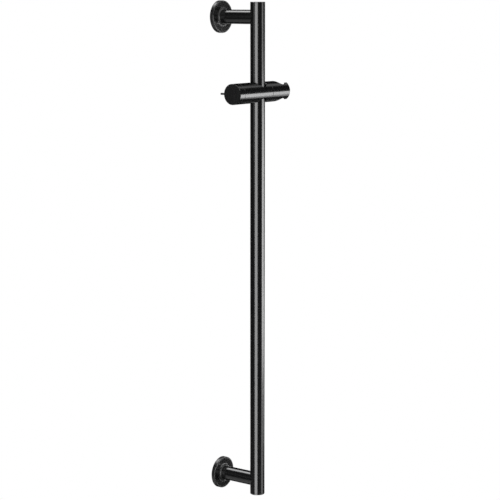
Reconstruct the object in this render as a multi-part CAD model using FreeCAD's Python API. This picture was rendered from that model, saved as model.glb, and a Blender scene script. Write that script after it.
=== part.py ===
import FreeCAD, Part
import math
import os
from FreeCAD import Placement, Rotation, Vector

# Shower slide rail, in millimetres. Z is up, X runs along the wall and +Y points into the wall.
# The origin lies on the wall at the centre of the lower fixing, and the room is at negative Y.

# Rail and its ends
rail_diameter = 22.0
rail_wall = 1.5
rail_standoff = 70.0  # wall to rail axis
rail_overhang = 22.0  # rail end past the axis of the arm
fixing_spacing = 700.0  # between the two wall fixings
cap_head = 3.0
cap_crown = 2.0
cap_plug = 7.0
cap_wall = 1.6
cap_chamfer = 0.5
insert_gap = 2.0  # between the cap's plug and the tapped insert

# Wall brackets
arm_diameter = 21.0
arm_web = 8.0  # solid end of the arm behind the rail
flange_diameter = 48.0
flange_wall = 1.6
flange_room = 0.6  # wall plate to the inside of the flange
flange_round = 0.8
collar_height = 3.0  # collar of the flange round the arm
collar_wall = 0.7
collar_round = 2.6
plate_thickness = 4.0
boss_diameter = 14.0
boss_tip = 8.0  # boss beyond the grub screw's groove
boss_chamfer = 0.8
wall_screw_spacing = 31.0
wall_screw_hole = 5.2
countersink_diameter = 9.4
countersink_depth = 2.1

# Screws of the brackets
arm_bolt_diameter = 6.0
arm_bolt_reach = 12.0  # thread past the back of the rail
arm_bolt_head_diameter = 10.0
arm_bolt_head_height = 6.0
arm_bolt_key = 5.0  # across the flats of the socket
arm_bolt_key_depth = 3.0
grub_diameter = 5.0
grub_ahead = 3.0  # grub screw axis in front of the collar
grub_groove = 1.5  # depth of the groove in the boss, with sides at 45 degrees
grub_recess = 0.4
grub_key = 2.5
grub_key_depth = 2.0

# Slider body and its nylon rings
slider_drop = 110.0  # slider axis below the upper arm
slider_wall = 4.25  # slider radius beyond the rail
rail_clearance = 0.5  # metal of the slider stays off the rail
ring_wall = 1.2
ring_seat = 5.0  # height of the shoulder that carries each ring
ring_recess = 0.9
ring_chamfer = 0.3
bore_chamfer = 0.9  # bright rim round the rail
seam_chamfer = 0.25

# Clamp: knob, spindle, plunger and pad
knob_length = 11.85
knob_seam = 0.15
knob_chamfer = 0.4
spigot_wall = 4.3  # slider body round the knob's spigot
spigot_length = 8.0
spigot_end_gap = 0.3
spindle_diameter = 8.0
spindle_cover = 2.5  # knob face in front of the spindle
plunger_diameter = 12.0
plunger_length = 21.0
plunger_back_gap = 8.0  # from the plunger to the spigot
plunger_flat = 4.6  # slider axis to the flat that keys the plunger
plunger_web = 2.2  # between the thread and the pad's pocket
release_stroke = 0.5
pad_rim = 0.6  # plunger wall between the pad and the flat
pad_seat = 3.0  # depth of the pocket
pad_stand = 2.0  # plunger front to the rail
pad_gap = 0.15
lever_diameter = 3.0
lever_reach = 8.8  # pin outside the knob
lever_inset = 4.5  # pin axis from the knob's outer face
lever_depth = 2.5  # pin past the spindle's axis
lever_round = 0.4
stop_screw_diameter = 4.0
stop_dog_diameter = 3.0
stop_groove_depth = 1.6
stop_setback = 4.0  # stop screw from the body's left face
stop_recess = 0.5
stop_key = 2.0
stop_key_depth = 1.6
knob_turn = 90.0  # degrees from locked to free

# Holder for the hand shower
body_right = 7.9  # slider body between the rail and the holder
holder_seam = 0.2
holder_web = 13.5
holder_end_round = 0.8
seat_top_diameter = 20.5
seat_bottom_diameter = 19.5
slot_width = 15.6
prong_length = 12.4  # seat axis to the end of the prongs
pivot_thread_diameter = 6.0
pivot_thread_gap = 1.2  # thread end to the rail
pivot_shoulder_diameter = 8.0
pivot_head_diameter = 11.0
pivot_head_height = 5.0
pivot_head_recess = 0.8
pivot_head_room = 0.8  # counterbore round the head
pivot_key = 4.0
pivot_key_depth = 2.5
washer_diameter = 21.6
washer_recess = 1.2
washer_room = 0.2
spring_height = 1.0
spring_thickness = 0.6
spring_room = 0.2

# Fits
slip_fit = 0.03
running_fit = 0.05
face_gap = 0.05
bolt_room = 0.3
arm_fit = 0.1
saddle_gap = 0.02

# Places worked out from the sizes above
up = Vector(0, 0, 1)
along = Vector(1, 0, 0)
to_wall = Vector(0, 1, 0)
to_room = Vector(0, -1, 0)
middle = Vector(0, 0, 0)
fixing_heights = {"lower": 0.0, "upper": fixing_spacing}

rail_radius = rail_diameter / 2
rail_inner = rail_radius - rail_wall
tube_bottom = -rail_overhang + cap_head
tube_top = fixing_spacing + rail_overhang - cap_head
insert_half = rail_overhang - cap_head - cap_plug - insert_gap
arm_radius = arm_diameter / 2
boss_radius = boss_diameter / 2
web_back = rail_standoff - rail_radius - arm_web
bolt_radius = arm_bolt_diameter / 2
bolt_hole = bolt_radius + bolt_room
flange_radius = flange_diameter / 2
flange_depth = plate_thickness + flange_room + flange_wall
grub_radius = grub_diameter / 2
collar_front = flange_depth + collar_height
grub_station = collar_front + grub_ahead
boss_end = grub_station + grub_groove + boss_tip

slider_radius = rail_radius + slider_wall
slider_diameter = 2 * slider_radius
slider_center = Vector(0, -rail_standoff, fixing_spacing - slider_drop)
ring_inner = rail_radius + running_fit
ring_outer = ring_inner + ring_wall
ring_bore = ring_outer + running_fit
ring_top = math.sqrt(slider_radius**2 - ring_bore**2) - ring_recess

plunger_front = -rail_radius - pad_stand
plunger_back = plunger_front - plunger_length
pocket_floor = plunger_front - pad_seat
pad_radius = plunger_flat - pad_rim
thread_floor = pocket_floor - plunger_web
spigot_end = plunger_back - plunger_back_gap
spigot_floor = spigot_end + spigot_end_gap
knob_face = spigot_end - spigot_length
body_left = knob_face + knob_seam
knob_end = knob_face - knob_length
spigot_radius = slider_radius - spigot_wall
spindle_radius = spindle_diameter / 2
spindle_back = knob_end + spindle_cover
spindle_front = thread_floor - release_stroke - bolt_room
lever_x = knob_end + lever_inset
lever_radius = lever_diameter / 2
stop_x = body_left + stop_setback
stop_radius = stop_screw_diameter / 2
stop_dog = stop_dog_diameter / 2
stop_groove = spigot_radius - stop_groove_depth

body_end = rail_radius + body_right
holder_face = body_end + holder_seam
head_floor = holder_face + holder_web
head_back = head_floor + spring_height + face_gap
head_front = head_back + pivot_head_height
seat_middle_radius = (seat_top_diameter + seat_bottom_diameter) / 4
seat_x = head_front + pivot_head_recess + seat_middle_radius
holder_end = seat_x + prong_length
pivot_radius = pivot_shoulder_diameter / 2


def turned(profile, origin, direction):
    # Solid of revolution through (station, radius) points, with stations along the direction
    points = [Vector(radius, 0, station) for station, radius in profile]
    face = Part.Face(Part.makePolygon(points + points[:1]))
    solid = face.revolve(middle, up, 360)
    solid.Placement = Placement(origin, Rotation(up, direction))
    return solid


def hex_socket(across_flats, depth, origin, direction):
    corner = across_flats / math.sqrt(3)
    turns = [math.radians(60 * k) for k in range(6)]
    points = [Vector(corner * math.cos(t), corner * math.sin(t), 0) for t in turns]
    prism = Part.Face(Part.makePolygon(points + points[:1])).extrude(up * depth)
    prism.Placement = Placement(origin, Rotation(up, direction))
    return prism


def edges_where(shape, test):
    # Edges whose sampled points all pass the test
    return [edge for edge in shape.Edges if all(test(p) for p in edge.discretize(5))]


def near(value, target):
    return abs(value - target) < 0.001


# Rail

def rail_tube():
    foot = Vector(0, -rail_standoff, 0)
    section = [
        (tube_bottom, rail_inner),
        (tube_bottom, rail_radius),
        (tube_top, rail_radius),
        (tube_top, rail_inner),
    ]
    tube = turned(section, foot, up)
    for height in fixing_heights.values():
        tube = tube.cut(Part.makeCylinder(bolt_hole, rail_standoff, foot + up * height, to_wall))
    return tube


def rail_cap(tube_end, outward):
    plug = rail_inner - slip_fit
    section = [
        (-cap_plug, plug - cap_wall),
        (-cap_plug, plug - cap_chamfer),
        (cap_chamfer - cap_plug, plug),
        (0, plug),
        (0, rail_radius - seam_chamfer),
        (seam_chamfer, rail_radius),
        (cap_head - cap_chamfer, rail_radius),
        (cap_head, rail_radius - cap_chamfer),
        (cap_head, 0),
        (cap_head - cap_crown, 0),
        (cap_head - cap_crown, plug - cap_wall),
    ]
    return turned(section, Vector(0, -rail_standoff, tube_end), outward)


def rail_insert():
    axis = Vector(0, -rail_standoff, 0)
    plug = Part.makeCylinder(rail_inner - slip_fit, 2 * insert_half, axis - up * insert_half, up)
    tap = Part.makeCylinder(bolt_radius + slip_fit, rail_diameter, axis + to_wall * rail_radius, to_room)
    return plug.cut(tap)


# Wall brackets, with stations measured from the wall

def arm():
    bore = boss_radius + slip_fit
    section = [
        (plate_thickness, bore),
        (plate_thickness, arm_radius),
        (rail_standoff, arm_radius),
        (rail_standoff, bolt_hole),
        (web_back, bolt_hole),
        (web_back, bore),
    ]
    post = turned(section, middle, to_room)
    rail_axis = to_room * rail_standoff
    foot = rail_axis - up * arm_diameter
    saddle = Part.makeCylinder(rail_radius + saddle_gap, 2 * arm_diameter, foot, up)
    grub_axis = to_room * grub_station
    grub_hole = Part.makeCylinder(grub_radius + slip_fit, arm_diameter, grub_axis, -up)
    return post.cut(saddle).cut(grub_hole)


def arm_bolt():
    head = web_back - arm_bolt_head_height
    tip = rail_standoff - rail_radius + arm_bolt_reach
    section = [
        (head, 0),
        (head, arm_bolt_head_diameter / 2),
        (web_back, arm_bolt_head_diameter / 2),
        (web_back, bolt_radius),
        (tip, bolt_radius),
        (tip, 0),
    ]
    socket = hex_socket(arm_bolt_key, arm_bolt_key_depth, to_room * head, to_room)
    return turned(section, middle, to_room).cut(socket)


def wall_plate():
    plate_radius = flange_radius - flange_wall - arm_fit
    section = [
        (0, 0),
        (0, plate_radius),
        (plate_thickness, plate_radius),
        (plate_thickness, boss_radius),
        (grub_station - grub_groove, boss_radius),
        (grub_station, boss_radius - grub_groove),
        (grub_station + grub_groove, boss_radius),
        (boss_end - boss_chamfer, boss_radius),
        (boss_end, boss_radius - boss_chamfer),
        (boss_end, 0),
    ]
    plate = turned(section, middle, to_room)
    hole = wall_screw_hole / 2
    for side in (-1, 1):
        back = along * side * wall_screw_spacing / 2
        sink = back + to_room * (plate_thickness - countersink_depth)
        plate = plate.cut(Part.makeCylinder(hole, plate_thickness, back, to_room))
        plate = plate.cut(Part.makeCone(hole, countersink_diameter / 2, countersink_depth, sink, to_room))
    return plate


def grub_screw():
    axis = Vector(0, -grub_station, 0)
    tip = boss_radius - grub_groove + face_gap
    end = arm_radius - grub_recess
    section = [(tip, 0), (tip + grub_radius, grub_radius), (end, grub_radius), (end, 0)]
    socket = hex_socket(grub_key, grub_key_depth, axis - up * end, up)
    return turned(section, axis, -up).cut(socket)


def flange():
    hole = arm_radius + arm_fit
    collar = hole + collar_wall
    inside = flange_depth - flange_wall
    section = [
        (0, flange_radius - flange_wall),
        (0, flange_radius),
        (flange_depth, flange_radius),
        (flange_depth, collar),
        (collar_front, collar),
        (collar_front, hole),
        (inside, hole),
        (inside, flange_radius - flange_wall),
    ]
    cup = turned(section, middle, to_room)

    def circle_on_front(radius):
        return edges_where(cup, lambda p: near(p.y, -flange_depth) and near(math.hypot(p.x, p.z), radius))

    cup = cup.makeFillet(min(flange_round, flange_wall * 0.8), circle_on_front(flange_radius))
    return cup.makeFillet(min(collar_round, collar_height * 0.9), circle_on_front(collar))


# Slider, with stations along X from the rail's axis

def glide_ring(side):
    foot = ring_seat + face_gap
    section = [
        (foot, ring_inner + ring_chamfer),
        (foot, ring_outer),
        (ring_top - ring_chamfer, ring_outer),
        (ring_top, ring_outer - ring_chamfer),
        (ring_top, ring_inner + ring_chamfer),
        (ring_top - ring_chamfer, ring_inner),
        (foot + ring_chamfer, ring_inner),
    ]
    return turned(section, middle, up * side)


def keyed_bar(radius, flat, start, end):
    # Round bar along the slider, with the flat underneath that stops it turning
    bar = Part.makeCylinder(radius, end - start, Vector(start, 0, 0), along)
    return bar.cut(Part.makeBox(end - start, 2 * radius, radius, Vector(start, -radius, -flat - radius)))


def slider_body():
    section = [
        (body_left, 0),
        (body_left, slider_radius - seam_chamfer),
        (body_left + seam_chamfer, slider_radius),
        (body_end - seam_chamfer, slider_radius),
        (body_end, slider_radius - seam_chamfer),
        (body_end, 0),
    ]
    body = turned(section, middle, along)
    spigot_bore = spigot_radius + running_fit
    cuts = [
        Part.makeCylinder(spigot_bore, spigot_floor - body_left, Vector(body_left, 0, 0), along),
        keyed_bar(plunger_diameter / 2 + running_fit, plunger_flat + running_fit, spigot_floor, 0),
        Part.makeCylinder(pivot_thread_diameter / 2 + slip_fit, body_end, middle, along),
        Part.makeCylinder(rail_radius + rail_clearance, slider_diameter, Vector(0, 0, -slider_radius), up),
        Part.makeCylinder(ring_bore, slider_radius, Vector(0, 0, ring_seat), up),
        Part.makeCylinder(ring_bore, slider_radius, Vector(0, 0, -ring_seat), -up),
        Part.makeCylinder(stop_radius + slip_fit, slider_radius, Vector(stop_x, 0, 0), -up),
    ]
    for tool in cuts:
        body = body.cut(tool)

    def on_bore_rim(p):
        on_bore = near(math.hypot(p.x, p.y), ring_bore)
        return on_bore and near(math.hypot(p.y, p.z), slider_radius)

    return body.makeChamfer(bore_chamfer, edges_where(body, on_bore_rim))


def clamp_knob():
    section = [
        (knob_end, 0),
        (knob_end, slider_radius - knob_chamfer),
        (knob_end + knob_chamfer, slider_radius),
        (knob_face - seam_chamfer, slider_radius),
        (knob_face, slider_radius - seam_chamfer),
        (knob_face, spigot_radius),
        (spigot_end, spigot_radius),
        (spigot_end, spindle_radius + slip_fit),
        (spindle_back, spindle_radius + slip_fit),
        (spindle_back, 0),
    ]
    knob = turned(section, middle, along)
    pin_hole = Part.makeCylinder(lever_radius + slip_fit, slider_diameter, Vector(lever_x, 0, 0), to_wall)
    knob = knob.cut(pin_hole)
    # Groove for the stop screw's dog: a quarter turn, from below round to the wall side
    end_room = math.degrees(math.asin((stop_dog + running_fit) / stop_groove))
    half = stop_dog + running_fit
    corners = [
        Vector(stop_x - half, 0, -stop_groove),
        Vector(stop_x + half, 0, -stop_groove),
        Vector(stop_x + half, 0, -slider_radius),
        Vector(stop_x - half, 0, -slider_radius),
    ]
    groove = Part.Face(Part.makePolygon(corners + corners[:1]))
    groove.rotate(middle, along, -end_room)
    return knob.cut(groove.revolve(middle, along, knob_turn + 2 * end_room))


def knob_stop_screw():
    tip = stop_groove + running_fit
    step = spigot_radius + running_fit
    end = slider_radius - stop_recess
    section = [
        (tip, 0),
        (tip, stop_dog),
        (step, stop_dog),
        (step, stop_radius),
        (end, stop_radius),
        (end, 0),
    ]
    socket = hex_socket(stop_key, stop_key_depth, Vector(stop_x, 0, -end), up)
    return turned(section, Vector(stop_x, 0, 0), -up).cut(socket)


def clamp_spindle():
    back = Vector(spindle_back, 0, 0)
    side = Vector(lever_x, -spindle_diameter, 0)
    stem = Part.makeCylinder(spindle_radius, spindle_front - spindle_back, back, along)
    return stem.cut(Part.makeCylinder(lever_radius + slip_fit, 2 * spindle_diameter, side, to_wall))


def lever_pin():
    tip = slider_radius + lever_reach
    section = [
        (-lever_depth, 0),
        (-lever_depth, lever_radius),
        (tip - lever_round, lever_radius),
        (tip, lever_radius - lever_round),
        (tip, 0),
    ]
    return turned(section, Vector(lever_x, 0, 0), to_wall)


def clamp_plunger():
    bar = keyed_bar(plunger_diameter / 2, plunger_flat, plunger_back, plunger_front)
    back = Vector(plunger_back, 0, 0)
    thread = Part.makeCylinder(spindle_radius + running_fit, thread_floor - plunger_back, back, along)
    pocket = Part.makeCylinder(pad_radius + slip_fit, pad_seat, Vector(pocket_floor, 0, 0), along)
    return bar.cut(thread).cut(pocket)


def clamp_pad():
    shoe = Part.makeCylinder(pad_radius, -pocket_floor, Vector(pocket_floor, 0, 0), along)
    rail = Part.makeCylinder(rail_radius + pad_gap, slider_diameter, Vector(0, 0, -slider_radius), up)
    return shoe.cut(rail)


# Holder for the hand shower, at the right end of the slider

def handset_holder():
    section = [
        (holder_face, 0),
        (holder_face, slider_radius - seam_chamfer),
        (holder_face + seam_chamfer, slider_radius),
        (holder_end, slider_radius),
        (holder_end, 0),
    ]
    holder = turned(section, middle, along)
    taper = (seat_top_diameter - seat_bottom_diameter) / (4 * slider_radius)
    reach = slider_radius + slot_width
    seat = Part.makeCone(seat_middle_radius - taper * reach, seat_middle_radius + taper * reach,
                         2 * reach, Vector(seat_x, 0, -reach), up)
    slot = Part.makeBox(2 * prong_length, slot_width, 2 * reach, Vector(seat_x, -slot_width / 2, -reach))
    holder = holder.cut(seat).cut(slot)

    def on_mouth(p):
        at_end = near(p.x, holder_end)
        on_outside = near(math.hypot(p.y, p.z), slider_radius)
        return p.x > head_floor and (at_end or on_outside)

    holder = holder.makeFillet(holder_end_round, edges_where(holder, on_mouth))
    head_bore = pivot_head_diameter / 2 + pivot_head_room
    washer_bore = washer_diameter / 2 + washer_room
    cuts = [
        Part.makeCylinder(pivot_radius + running_fit, holder_web, Vector(holder_face, 0, 0), along),
        Part.makeCylinder(head_bore, seat_x - head_floor, Vector(head_floor, 0, 0), along),
        Part.makeCylinder(washer_bore, washer_recess, Vector(holder_face, 0, 0), along),
    ]
    for tool in cuts:
        holder = holder.cut(tool)
    return holder


def friction_washer():
    bore = pivot_radius + washer_room
    start = body_end + face_gap
    end = holder_face + washer_recess
    rim = washer_diameter / 2
    return turned([(start, bore), (start, rim), (end, rim), (end, bore)], middle, along)


def disc_spring():
    bore = pivot_radius + spring_room
    rim = pivot_head_diameter / 2
    section = [
        (0, rim),
        (spring_thickness, rim),
        (spring_height, bore),
        (spring_height - spring_thickness, bore),
    ]
    return turned(section, Vector(head_floor, 0, 0), along)


def holder_pivot_screw():
    tip = rail_radius + pivot_thread_gap
    section = [
        (tip, 0),
        (tip, pivot_thread_diameter / 2),
        (body_end, pivot_thread_diameter / 2),
        (body_end, pivot_radius),
        (head_back, pivot_radius),
        (head_back, pivot_head_diameter / 2),
        (head_front, pivot_head_diameter / 2),
        (head_front, 0),
    ]
    socket = hex_socket(pivot_key, pivot_key_depth, Vector(head_front, 0, 0), -along)
    return turned(section, middle, along).cut(socket)


rail_pieces = {
    "rail_tube": rail_tube(),
    "rail_top_cap": rail_cap(tube_top, up),
    "rail_bottom_cap": rail_cap(tube_bottom, -up),
}
bracket_pieces = {
    "rail_insert": rail_insert(),
    "arm": arm(),
    "arm_bolt": arm_bolt(),
    "wall_plate": wall_plate(),
    "grub_screw": grub_screw(),
    "flange": flange(),
}
slider_pieces = {
    "slider_body": slider_body(),
    "upper_glide_ring": glide_ring(1),
    "lower_glide_ring": glide_ring(-1),
    "clamp_knob": clamp_knob(),
    "knob_stop_screw": knob_stop_screw(),
    "clamp_spindle": clamp_spindle(),
    "lever_pin": lever_pin(),
    "clamp_plunger": clamp_plunger(),
    "clamp_pad": clamp_pad(),
    "handset_holder": handset_holder(),
    "friction_washer": friction_washer(),
    "disc_spring": disc_spring(),
    "holder_pivot_screw": holder_pivot_screw(),
}

# Set the slider on the rail and a bracket at each fixing
pieces = dict(rail_pieces)
for name, shape in slider_pieces.items():
    pieces[name] = shape.translated(slider_center)
for place, height in fixing_heights.items():
    for name, shape in bracket_pieces.items():
        pieces[f"{place}_{name}"] = shape.translated(up * height)

os.makedirs("parts", exist_ok=True)
for name, shape in pieces.items():
    shape.exportStep(f"parts/{name}.step")
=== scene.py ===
import bpy
import math
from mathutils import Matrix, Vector


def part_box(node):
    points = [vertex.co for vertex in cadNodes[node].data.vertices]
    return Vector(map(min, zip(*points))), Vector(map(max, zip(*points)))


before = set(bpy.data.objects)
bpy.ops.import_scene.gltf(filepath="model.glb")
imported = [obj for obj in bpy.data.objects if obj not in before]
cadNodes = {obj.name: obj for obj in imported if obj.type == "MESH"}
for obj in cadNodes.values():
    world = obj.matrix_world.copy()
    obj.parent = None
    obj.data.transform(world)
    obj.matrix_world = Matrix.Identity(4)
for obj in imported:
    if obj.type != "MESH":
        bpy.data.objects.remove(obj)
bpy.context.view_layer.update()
print("frame loaded with", len(cadNodes), "pieces")


def middleOf(node):
    low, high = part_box(node)
    return (low + high) / 2


# Small helpers for the finishes
def startFinish(name):
    finish = bpy.data.materials.new(name)
    finish.use_nodes = True
    return finish, finish.node_tree, finish.node_tree.nodes["Principled BSDF"]


def addNode(tree, kind, inputs, **settings):
    node = tree.nodes.new("ShaderNode" + kind)
    for name, value in settings.items():
        setattr(node, name, value)
    for name, value in inputs.items():
        if isinstance(value, bpy.types.NodeSocket):
            tree.links.new(value, node.inputs[name])
        else:
            node.inputs[name].default_value = value
    return node.outputs


def pieceCoords(tree, shift=(0, 0, 0), stretch=(1, 1, 1)):
    coords = addNode(tree, "TexCoord", {})["Object"]
    return addNode(tree, "Mapping", {"Vector": coords, "Location": shift, "Scale": stretch})["Vector"]


# Distance from the turning axis and place along it, so rings show on barrels and faces alike
def latheCoords(tree, axis, middle):
    centred = pieceCoords(tree, shift=[-c for c in middle])
    flat = [0 if i == axis else 1 for i in range(3)]
    across = addNode(tree, "VectorMath", {0: centred, 1: flat}, operation="MULTIPLY")["Vector"]
    radius = addNode(tree, "VectorMath", {0: across}, operation="LENGTH")["Value"]
    along = addNode(tree, "SeparateXYZ", {0: centred})[axis]
    return addNode(tree, "CombineXYZ", {"X": radius, "Y": along})["Vector"]


def speckle(tree, coords, noise):
    inputs = {"Vector": coords, "Scale": noise["scale"], "Detail": noise["detail"]}
    return addNode(tree, "TexNoise", inputs)["Fac"]


# Sum of the patterns that have a share of the kind asked for
def pileUp(tree, patterns, noises, kind):
    total = 0.0
    for name, pattern in patterns.items():
        if kind in noises[name]:
            inputs = {0: pattern, 1: noises[name][kind], 2: total}
            total = addNode(tree, "Math", inputs, operation="MULTIPLY_ADD")["Value"]
    return total


noiseReach = (0.3, 0.7)  # where most values of a noise pattern lie


def spreadOver(tree, pattern, low, high):
    inputs = {"Value": pattern, "To Min": low, "To Max": high}
    inputs["From Min"], inputs["From Max"] = noiseReach
    return addNode(tree, "MapRange", inputs)["Result"]


# Colour sockets of a Mix node, by number because its other sockets have the same names
mixSockets = {"dark": 6, "light": 7, "result": 2}


def tintBetween(tree, pattern, dark, light):
    mix = tree.nodes.new("ShaderNodeMix")
    mix.data_type = "RGBA"
    tree.links.new(spreadOver(tree, pattern, 0, 1), mix.inputs["Factor"])
    mix.inputs[mixSockets["dark"]].default_value = (*dark, 1)
    mix.inputs[mixSockets["light"]].default_value = (*light, 1)
    return mix.outputs[mixSockets["result"]]


# One finish from its look: noise patterns tint it, vary its roughness and raise its surface
def makeFinish(name, look, markCoords=None, dullZones=()):
    finish, tree, shader = startFinish(name)
    noises = look["patterns"]
    patterns = {}
    for pattern, noise in noises.items():
        coords = markCoords(tree) if pattern == "marks" else pieceCoords(tree)
        patterns[pattern] = speckle(tree, coords, noise)
    tint = tintBetween(tree, patterns[look["tintedBy"]], look["dark"], look["light"])
    gloss = spreadOver(tree, pileUp(tree, patterns, noises, "gloss"), *look["roughness"])
    for zone in dullZones:
        radius = addNode(tree, "SeparateXYZ", {0: markCoords(tree)})["X"]
        ramp = {"Value": radius, "From Min": zone["inner"], "From Max": zone["outer"]}
        ramp["To Min"], ramp["To Max"] = zone["extra"]
        dull = addNode(tree, "MapRange", ramp, interpolation_type="SMOOTHSTEP")["Result"]
        gloss = addNode(tree, "Math", {0: gloss, 1: dull}, operation="ADD")["Value"]
    height = pileUp(tree, patterns, noises, "height")
    bump = addNode(tree, "Bump", {"Height": height, "Distance": look["depth"], "Strength": 1.0})["Normal"]
    tree.links.new(tint, shader.inputs["Base Color"])
    tree.links.new(gloss, shader.inputs["Roughness"])
    tree.links.new(bump, shader.inputs["Normal"])
    for socket, value in look["sockets"].items():
        shader.inputs[socket].default_value = value
    return finish


# Satin black coat: fine grain of the coat over the marks of the metal under it
# Noise scales are per metre, depths in metres
def satinCoat(markScale):
    return {
        "dark": (0.0035, 0.0035, 0.0037),
        "light": (0.0062, 0.0062, 0.0065),
        "tintedBy": "grain",
        "roughness": (0.16, 0.21),
        "depth": 0.0000011,
        "patterns": {
            "grain": {"scale": 1500, "detail": 3.0, "height": 0.45},
            "peel": {"scale": 240, "detail": 1.0, "height": 0.8},
            "cloud": {"scale": 22, "detail": 3.0, "gloss": 0.6},
            "marks": {"scale": markScale, "detail": 2.0, "gloss": 0.4, "height": 0.5},
        },
        "sockets": {"IOR": 1.75},
    }


def turnedMetal(dark, light, roughness, markScale, cloudScale, depth):
    return {
        "dark": dark,
        "light": light,
        "tintedBy": "cloud",
        "roughness": roughness,
        "depth": depth,
        "patterns": {
            "cloud": {"scale": cloudScale, "detail": 3.0, "gloss": 0.5},
            "marks": {"scale": markScale, "detail": 3.0, "gloss": 0.5, "height": 1.0},
        },
        "sockets": {"Metallic": 1.0},
    }


drawnCoat = satinCoat(markScale=2600)
turnedCoat = satinCoat(markScale=1900)
plateSteel = turnedMetal(
    dark=(0.50, 0.50, 0.51),
    light=(0.60, 0.60, 0.61),
    roughness=(0.28, 0.42),
    markScale=1900,
    cloudScale=60,
    depth=0.000008,
)
screwSteel = turnedMetal(
    dark=(0.48, 0.48, 0.49),
    light=(0.58, 0.58, 0.59),
    roughness=(0.24, 0.36),
    markScale=3200,
    cloudScale=260,
    depth=0.000005,
)
turnedBrass = turnedMetal(
    dark=(0.64, 0.46, 0.19),
    light=(0.76, 0.59, 0.29),
    roughness=(0.24, 0.38),
    markScale=2600,
    cloudScale=180,
    depth=0.000006,
)
nylon = {
    "dark": (0.022, 0.022, 0.022),
    "light": (0.034, 0.034, 0.034),
    "tintedBy": "waxy",
    "roughness": (0.42, 0.55),
    "depth": 0.000008,
    "patterns": {
        "waxy": {"scale": 350, "detail": 3.0, "height": 0.6},
        "fine": {"scale": 2400, "detail": 2.0, "gloss": 1.0, "height": 0.4},
    },
    "sockets": {},
}
# Duller coat in the root of each flange's collar and round its rim, by distance from the axis
flangeDull = {
    "root": {"inner": 0.0134, "outer": 0.0152, "extra": (0.3, 0.0)},
    "rim": {"inner": 0.0212, "outer": 0.0230, "extra": (0.0, 0.16)},
}
drawStretch = 0.02  # scale of the marks along the rail, so that they run lengthwise


def drawnAlongRail(tree):
    return pieceCoords(tree, stretch=(1, 1, drawStretch))


def turnedAbout(axis, node):
    middle = middleOf(node)
    return lambda tree: latheCoords(tree, axis, middle)


# Which finish each piece wears: its own, or that of its material slot
aboutSlider = turnedAbout(0, "slider_body")
railBlack = makeFinish("rail_satin_black", drawnCoat, drawnAlongRail)
railBrass = makeFinish("rail_turned_brass", turnedBrass, drawnAlongRail)
slotFinish = {
    "black_slider": makeFinish("slider_satin_black", turnedCoat, aboutSlider),
    "screw_steel": makeFinish("slider_screw_steel", screwSteel, aboutSlider),
    "turned_brass": makeFinish("slider_turned_brass", turnedBrass, aboutSlider),
    "nylon": makeFinish("black_nylon", nylon),
}
finishes = {
    "rail_tube": railBlack,
    "rail_top_cap": railBlack,
    "rail_bottom_cap": railBlack,
    "upper_rail_insert": railBrass,
    "lower_rail_insert": railBrass,
}
for place in ("upper", "lower"):
    about = turnedAbout(1, place + "_flange")
    flangeBlack = makeFinish(place + "_flange_satin_black", turnedCoat, about, flangeDull.values())
    bracketScrew = makeFinish(place + "_screw_steel", screwSteel, about)
    finishes[place + "_arm"] = makeFinish(place + "_arm_satin_black", turnedCoat, about)
    finishes[place + "_flange"] = flangeBlack
    finishes[place + "_wall_plate"] = makeFinish(place + "_plate_steel", plateSteel, about)
    finishes[place + "_arm_bolt"] = bracketScrew
    finishes[place + "_grub_screw"] = bracketScrew

for name, node in cadNodes.items():
    slotName = node.material_slots[0].material.name
    node.material_slots[0].material = finishes.get(name) or slotFinish[slotName]
print("finishes set on", len(cadNodes), "pieces")

# White set: the world and the far floor are white where they are seen and softer where they light
setLook = {
    "white": (1, 1, 1, 1),
    "ambient": 0.35,
    "floorHeight": -1.05,
    "floorRadius": 3.2,
    "floorSides": 96,
    "floorTint": (0.86, 0.86, 0.86, 1),
    "floorRoughness": 0.8,
    "fadeReach": (0.8, 2.0),  # metres from the floor's middle
    "fadeShare": (0.15, 1.0),
}


def seenRays(tree):
    path = addNode(tree, "LightPath", {})
    direct = {0: path["Is Camera Ray"], 1: path["Is Glossy Ray"]}
    seen = addNode(tree, "Math", direct, operation="ADD")[0]
    through = {0: seen, 1: path["Is Transmission Ray"]}
    return addNode(tree, "Math", through, operation="ADD", use_clamp=True)[0]


def mattFinish(name, tint, roughness):
    finish, tree, shader = startFinish(name)
    shader.inputs["Base Color"].default_value = tint
    shader.inputs["Roughness"].default_value = roughness
    shader.inputs["Specular IOR Level"].default_value = 0.0
    return finish, tree, shader


world = bpy.data.worlds.new("white_studio")
bpy.context.scene.world = world
world.use_nodes = True
sky = world.node_tree
softSky = sky.nodes["Background"]
softSky.inputs["Color"].default_value = setLook["white"]
softSky.inputs["Strength"].default_value = setLook["ambient"]
backdrop = addNode(sky, "Background", {"Color": setLook["white"], "Strength": 1.0})[0]
shown = addNode(sky, "MixShader", {0: seenRays(sky), 1: softSky.outputs[0], 2: backdrop})[0]
sky.links.new(shown, sky.nodes["World Output"].inputs["Surface"])

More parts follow.
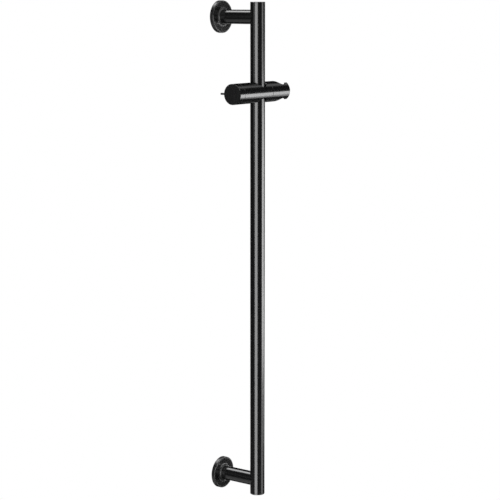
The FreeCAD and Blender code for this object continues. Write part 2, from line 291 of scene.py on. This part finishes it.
bpy.ops.object.select_all(action="DESELECT")
railMiddle = middleOf("rail_tube")
floorPlace = Vector((railMiddle.x, railMiddle.y, setLook["floorHeight"]))
bpy.ops.mesh.primitive_circle_add(
    vertices=setLook["floorSides"], radius=setLook["floorRadius"], fill_type="NGON", location=floorPlace
)
floor = bpy.context.object
floor.name = "floor"
pale, paleTree, paleShader = mattFinish("pale_floor", setLook["floorTint"], setLook["floorRoughness"])
white = addNode(paleTree, "Emission", {"Color": setLook["white"], "Strength": 1.0})[0]
reach = addNode(paleTree, "VectorMath", {0: pieceCoords(paleTree)}, operation="LENGTH")["Value"]
whiten = {"Value": reach}
whiten["From Min"], whiten["From Max"] = setLook["fadeReach"]
whiten["To Min"], whiten["To Max"] = setLook["fadeShare"]
away = addNode(paleTree, "MapRange", whiten, interpolation_type="SMOOTHSTEP")["Result"]
fade = addNode(paleTree, "Math", {0: away, 1: seenRays(paleTree)}, operation="MULTIPLY")[0]
mixed = addNode(paleTree, "MixShader", {0: fade, 1: paleShader.outputs[0], 2: white})[0]
paleTree.links.new(mixed, paleTree.nodes["Material Output"].inputs["Surface"])
floor.data.materials.append(pale)
print("white set ready")

# Lamps, each by its place and aim in metres, its width and height, its brightness
# and, where it is narrowed, its spread in degrees
fullSpread = 180
lamps = {
    "left_strip": {
        "place": (-1.93, -0.58, 0.1), "aim": (0, -0.07, 0.1), "size": (1.5, 2.1), "glow": 3.9,
    },
    "left_back_box": {
        "place": (-2.02, 0.82, 1.0), "aim": (0, -0.07, 0.6), "size": (0.8, 1.4), "glow": 0.45,
    },
    "right_box": {
        "place": (1.36, -1.55, 0.09), "aim": (0, -0.07, 0.13), "size": (1.3, 0.76), "glow": 4.8,
    },
    "right_strip": {
        "place": (0.95, -1.9, 0.1), "aim": (0, -0.07, 0.1), "size": (0.9, 2.2), "glow": 1.6,
    },
    "right_low_box": {
        "place": (1.74, -0.84, -0.24), "aim": (0, -0.07, 0.4), "size": (0.55, 0.45), "glow": 1.8,
    },
    "right_side_strip": {
        "place": (2.06, 0.36, 0.05), "aim": (0, -0.07, 0.1), "size": (0.7, 1.4), "glow": 0.85,
    },
    "back_top_box": {
        "place": (0.2, 1.1, 1.95), "aim": (0, -0.03, 0), "size": (1.5, 1.0), "glow": 0.29, "spread": 40,
    },
    "right_top_box": {
        "place": (1.78, -0.29, 1.86), "aim": (0, -0.07, 0.59), "size": (0.7, 0.7), "glow": 0.5,
    },
    "front_top_box": {
        "place": (-0.45, -1.65, 1.85), "aim": (0, -0.07, 0.5), "size": (2.2, 0.5), "glow": 1.8,
    },
    "side_top_box": {
        "place": (0.9, -0.1, 2.3), "aim": (0, -0.07, 0.4), "size": (0.6, 0.6), "glow": 1.8,
    },
}
for name, lamp in lamps.items():
    turn = (Vector(lamp["aim"]) - Vector(lamp["place"])).to_track_quat("-Z", "Y").to_euler()
    bpy.ops.object.light_add(type="AREA", location=lamp["place"], rotation=turn)
    light = bpy.context.object
    light.name = name
    light.visible_camera = False
    light.data.shape = "RECTANGLE"
    light.data.size, light.data.size_y = lamp["size"]
    light.data.energy = math.pi * lamp["glow"] * lamp["size"][0] * lamp["size"][1]
    light.data.spread = math.radians(lamp.get("spread", fullSpread))
print("lamps lit:", len(lamps))

# Cards out of the camera's sight: a dark ring and three floor cards keep the black metal deep,
# and a pale card behind the wall side shows in the steel plates
cardRing = {
    "count": 12,
    "radius": 3.0,
    "width": 1.66,
    "frontTop": 3.6,
    "backTop": 4.8,
    "back": (30, 180),  # bearings in degrees
    "shade": 0.02,
}
paleCard = {"bearing": 57, "radius": 2.9, "width": 1.8, "top": 1.0, "shade": 0.8}
floorCards = {  # place with the height above the floor
    "dark_floor_card": {"place": (1.5, 0, 0.02), "size": (3.0, 5.6), "shade": 0.02},
    "front_floor_card": {"place": (-1.5, -1.4, 0.02), "size": (3.0, 2.8), "shade": 0.02},
    "grey_floor_card": {"place": (-1.5, 1.4, 0.02), "size": (3.0, 2.8), "shade": 0.55},
}


def feltFinish(name, shade):
    return mattFinish(name, (shade, shade, shade, 1), 1.0)[0]


def hangCard(name, place, turn, size, finish):
    bpy.ops.mesh.primitive_plane_add(size=1, location=place, rotation=turn)
    card = bpy.context.object
    card.name = name
    card.scale = (size[0], size[1], 1)
    card.data.materials.append(finish)
    card.visible_camera = False
    card.visible_diffuse = False
    card.visible_shadow = False
    card.visible_transmission = False


def standCard(name, bearing, radius, width, top, finish):
    tall = top - setLook["floorHeight"]
    out = Vector((math.cos(math.radians(bearing)), math.sin(math.radians(bearing)), 0))
    place = floorPlace + out * radius + Vector((0, 0, tall / 2))
    hangCard(name, place, (-out).to_track_quat("Z", "Y").to_euler(), (width, tall), finish)


darkFelt = feltFinish("dark_felt", cardRing["shade"])
paleFelt = feltFinish("pale_felt", paleCard["shade"])
for i in range(cardRing["count"]):
    bearing = 360 / cardRing["count"] * i
    behind = cardRing["back"][0] <= bearing <= cardRing["back"][1]
    top = cardRing["backTop"] if behind else cardRing["frontTop"]
    standCard(f"dark_card_{i}", bearing, cardRing["radius"], cardRing["width"], top, darkFelt)
standCard(
    "pale_card", paleCard["bearing"], paleCard["radius"], paleCard["width"], paleCard["top"], paleFelt
)
for name, card in floorCards.items():
    place = Vector(card["place"]) + Vector((0, 0, setLook["floorHeight"]))
    hangCard(name, place, (0, 0, 0), card["size"], feltFinish(name + "_felt", card["shade"]))
print("cards up:", cardRing["count"] + 1 + len(floorCards))

# Camera at the photograph's angle: to the rail's left, level with its top and looking a little down
rig = {
    "place": (-1.9376, -1.4929, 0.7345),
    "heading": 53.44,  # degrees from the wall's normal
    "pitch": 8.97,
    "lens": 117.17,
    "sensor": 36,
}
bpy.ops.object.camera_add(
    location=rig["place"],
    rotation=(math.radians(90 - rig["pitch"]), 0, math.radians(-rig["heading"])),
)
camera = bpy.context.object
camera.data.lens = rig["lens"]
camera.data.sensor_width = rig["sensor"]
bpy.context.scene.camera = camera
bpy.context.scene.view_settings.view_transform = "Standard"
print("camera placed")
